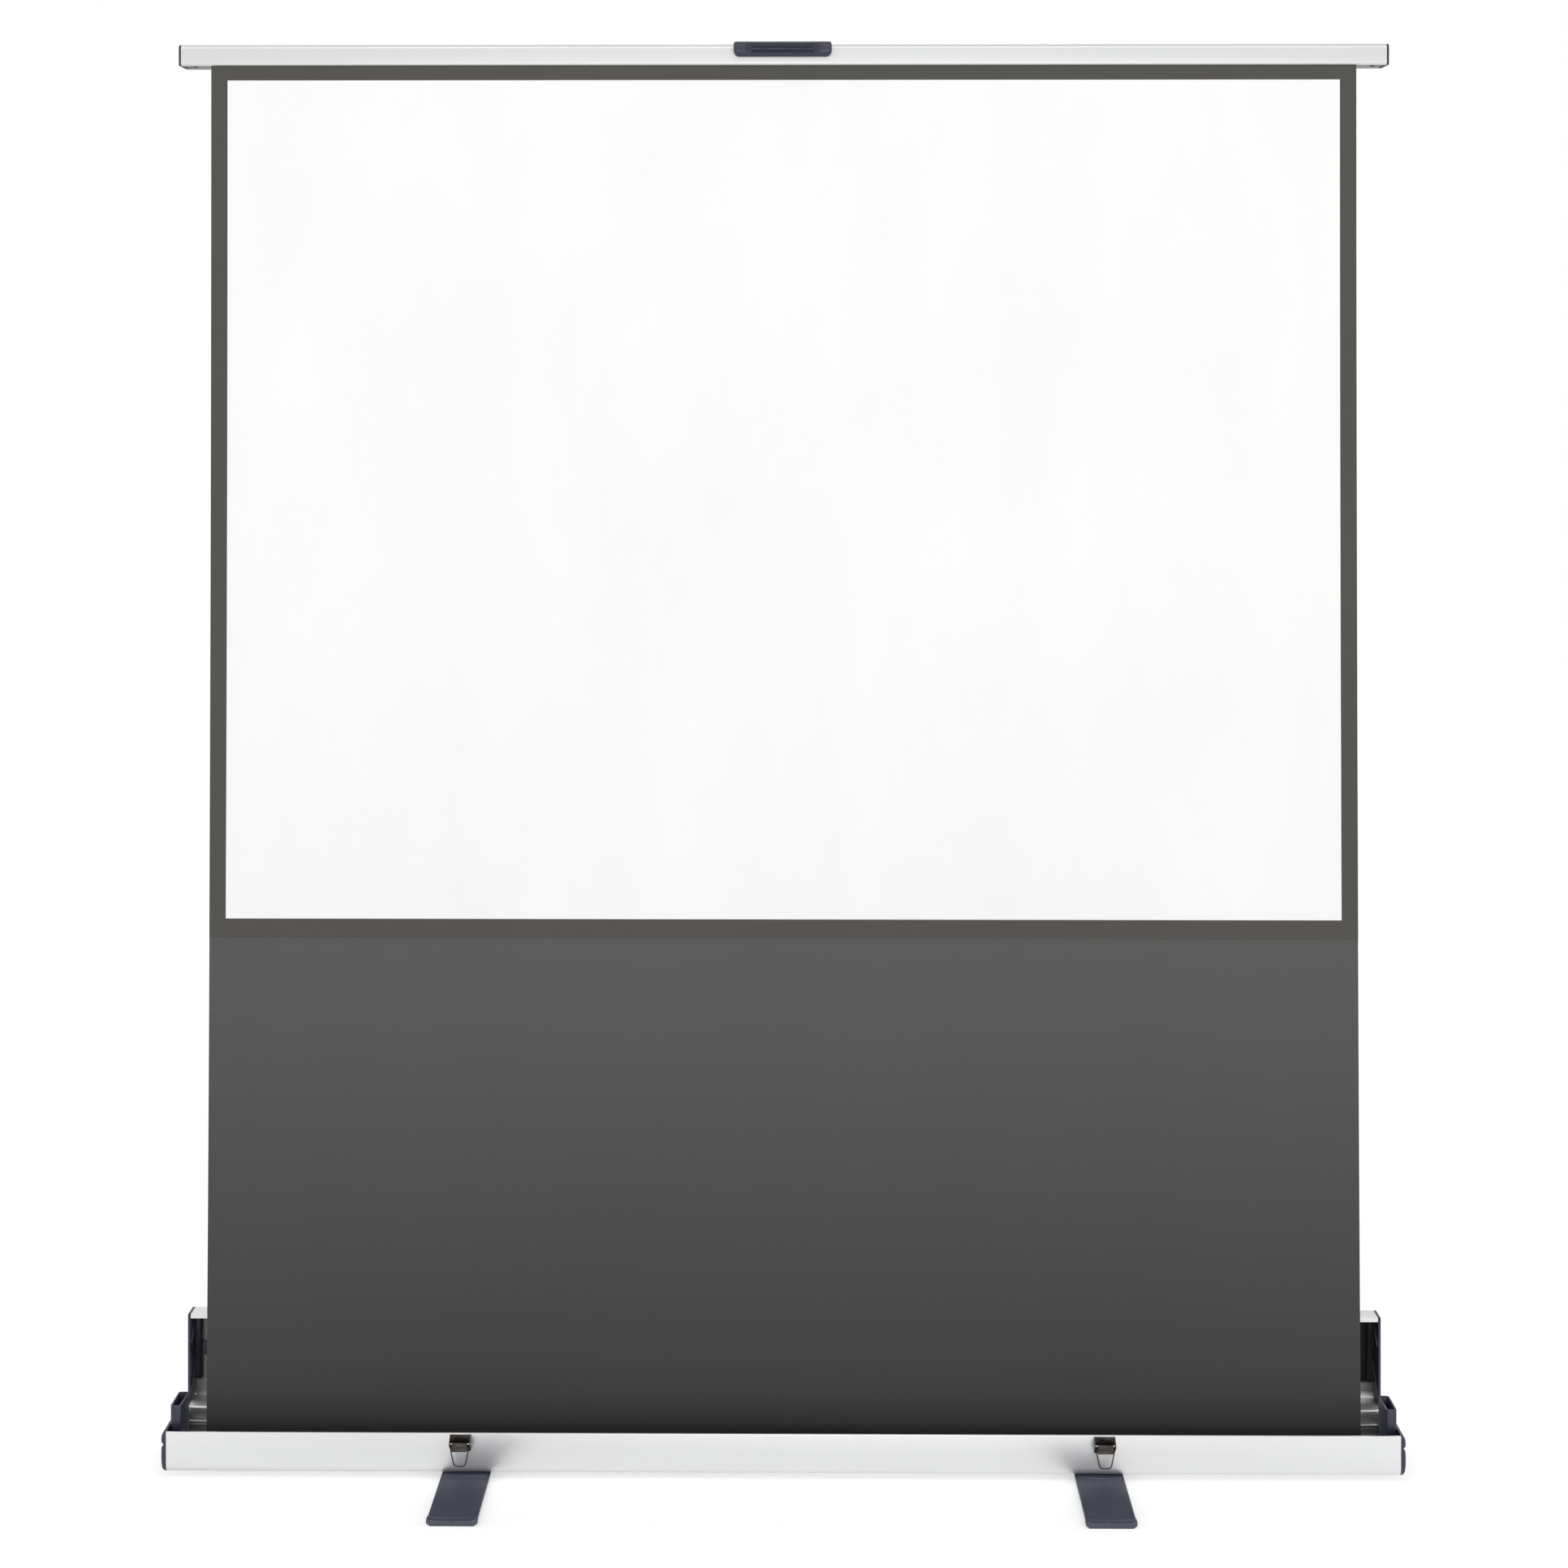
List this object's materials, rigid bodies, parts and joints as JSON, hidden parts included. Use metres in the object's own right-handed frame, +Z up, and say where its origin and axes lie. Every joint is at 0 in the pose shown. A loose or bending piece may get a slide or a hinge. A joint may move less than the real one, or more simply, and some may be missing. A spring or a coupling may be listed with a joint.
{
  "type": "projector screen",
  "caption": "Portable floor-standing projector screen that pulls up out of an aluminium case on crossing arms, with a hinged lid, swinging feet and two toggle latches.",
  "frame": {"origin": "on the floor, under the middle of the case and of the feet", "axes": "+X along the case to the viewer's right, -Y towards the viewer of the picture, +Z up"},
  "size_m": [1.774, 0.4096, 2.0634],
  "materials": {
    "black_fabric": "matt black cloth",
    "black_plastic": "matt",
    "black_steel": "satin black paint",
    "gunmetal": "dark nickel plating",
    "navy_plastic": "fine matt moulding",
    "satin_aluminium": "satin anodised",
    "white_fabric": "matt white projection surface",
    "zinc_steel": "bright zinc plating"
  },
  "bodies": {
    "case": {"case_trough": "satin_aluminium", "roller_spring_shaft": "zinc_steel", "roller_spring": "zinc_steel", "skirt_fabric": "black_fabric", "image_fabric": "white_fabric", "case_cap_left": "navy_plastic", "base_bracket_left": "zinc_steel", "base_pin_left": "zinc_steel", "arm_spring_left": "zinc_steel", "latch_plate_left": "gunmetal", "latch_pin_left": "zinc_steel", "foot_pivot_left": "zinc_steel", "case_cap_right": "navy_plastic", "base_bracket_right": "zinc_steel", "base_pin_right": "zinc_steel", "arm_spring_right": "zinc_steel", "latch_plate_right": "gunmetal", "latch_pin_right": "zinc_steel", "foot_pivot_right": "zinc_steel"},
    "roller": {"roller_tube": "satin_aluminium", "fabric_roll": "black_fabric", "roller_idle_plug": "black_plastic", "roller_drive_plug": "black_plastic"},
    "top_bar": {"top_bar": "satin_aluminium", "hem_rod": "zinc_steel", "pull_handle": "navy_plastic", "bar_cap_left": "navy_plastic", "top_bracket_left": "zinc_steel", "top_pin_left": "zinc_steel", "bar_cap_right": "navy_plastic", "top_bracket_right": "zinc_steel", "top_pin_right": "zinc_steel"},
    "lid": {"lid_cover": "satin_aluminium", "lid_end_pad": "black_plastic", "lid_cap_left": "navy_plastic", "lid_catch_left": "gunmetal", "carry_lug_left": "navy_plastic", "lid_cap_right": "navy_plastic", "lid_catch_right": "gunmetal", "carry_lug_right": "navy_plastic"},
    "carry_handle": {"carry_handle": "navy_plastic"},
    "lower_arm_left": {"lower_arm_left": "black_steel", "elbow_pin_left": "zinc_steel"},
    "upper_arm_left": {"upper_arm_left": "black_steel"},
    "latch_lever_left": {"latch_lever_left": "gunmetal"},
    "latch_bail_left": {"latch_bail_left": "gunmetal"},
    "foot_left": {"foot_left": "navy_plastic", "foot_cap_front_left": "navy_plastic", "foot_cap_rear_left": "navy_plastic"},
    "lower_arm_right": {"lower_arm_right": "black_steel", "elbow_pin_right": "zinc_steel"},
    "upper_arm_right": {"upper_arm_right": "black_steel"},
    "latch_lever_right": {"latch_lever_right": "gunmetal"},
    "latch_bail_right": {"latch_bail_right": "gunmetal"},
    "foot_right": {"foot_right": "navy_plastic", "foot_cap_front_right": "navy_plastic", "foot_cap_rear_right": "navy_plastic"}
  },
  "joints": [
    {"name": "fold", "type": "hinge", "parent": "case", "child": "lower_arm_left", "pos_m": [-0.2, 0.016, 0.03], "axis": [0, 1, 0], "range_deg": [0, 71.64], "deforming": ["skirt_fabric", "image_fabric", "arm_spring_left", "arm_spring_right"]},
    {"name": "elbow_left", "type": "hinge", "parent": "lower_arm_left", "child": "upper_arm_left", "pos_m": [0.10753, 0.0243, 1.034], "axis": [0, 1, 0], "range_deg": [-144.28, 0]},
    {"name": "bar_level", "type": "hinge", "parent": "upper_arm_left", "child": "top_bar", "pos_m": [-0.2, 0.0243, 2.038], "axis": [0, 1, 0], "range_deg": [0, 72.64]},
    {"name": "fold_right", "type": "hinge", "parent": "case", "child": "lower_arm_right", "pos_m": [0.2, 0.0425, 0.03], "axis": [0, 1, 0], "range_deg": [-72.64, 0]},
    {"name": "elbow_right", "type": "hinge", "parent": "lower_arm_right", "child": "upper_arm_right", "pos_m": [-0.10753, 0.0342, 1.034], "axis": [0, 1, 0], "range_deg": [0, 144.28]},
    {"name": "roller_spin", "type": "hinge", "parent": "case", "child": "roller", "pos_m": [0, -0.035, 0.037], "axis": [1, 0, 0], "range_deg": [-6080, 0]},
    {"name": "lid", "type": "hinge", "parent": "case", "child": "lid", "pos_m": [0, 0.065, 0.047], "axis": [1, 0, 0], "range_deg": [0, 12]},
    {"name": "carry_swing", "type": "hinge", "parent": "lid", "child": "carry_handle", "pos_m": [0, 0.1343, 0.122], "axis": [1, 0, 0], "range_deg": [0, 170]},
    {"name": "latch_left", "type": "hinge", "parent": "case", "child": "latch_lever_left", "pos_m": [-0.459, -0.07375, 0.0565], "axis": [1, 0, 0], "range_deg": [-90, 0]},
    {"name": "bail_left", "type": "hinge", "parent": "latch_lever_left", "child": "latch_bail_left", "pos_m": [-0.459, -0.07675, 0.053], "axis": [1, 0, 0], "range_deg": [-90, 8]},
    {"name": "foot_swing_left", "type": "hinge", "parent": "case", "child": "foot_left", "pos_m": [-0.452, 0, 0.0095], "axis": [0, 0, 1], "range_deg": [0, 90]},
    {"name": "latch_right", "type": "hinge", "parent": "case", "child": "latch_lever_right", "pos_m": [0.459, -0.07375, 0.0565], "axis": [1, 0, 0], "range_deg": [-90, 0]},
    {"name": "bail_right", "type": "hinge", "parent": "latch_lever_right", "child": "latch_bail_right", "pos_m": [0.459, -0.07675, 0.053], "axis": [1, 0, 0], "range_deg": [-90, 8]},
    {"name": "foot_swing_right", "type": "hinge", "parent": "case", "child": "foot_right", "pos_m": [0.452, 0, 0.0095], "axis": [0, 0, 1], "range_deg": [-90, 0]}
  ],
  "couplings": [
    {"joint": "elbow_left", "follows": "fold", "ratio": -2},
    {"joint": "bar_level", "follows": "fold", "ratio": 1},
    {"joint": "fold_right", "follows": "fold", "ratio": -1},
    {"joint": "elbow_right", "follows": "fold", "ratio": 2},
    {"joint": "roller_spin", "follows": "fold", "ratio": -84.7}
  ]
}
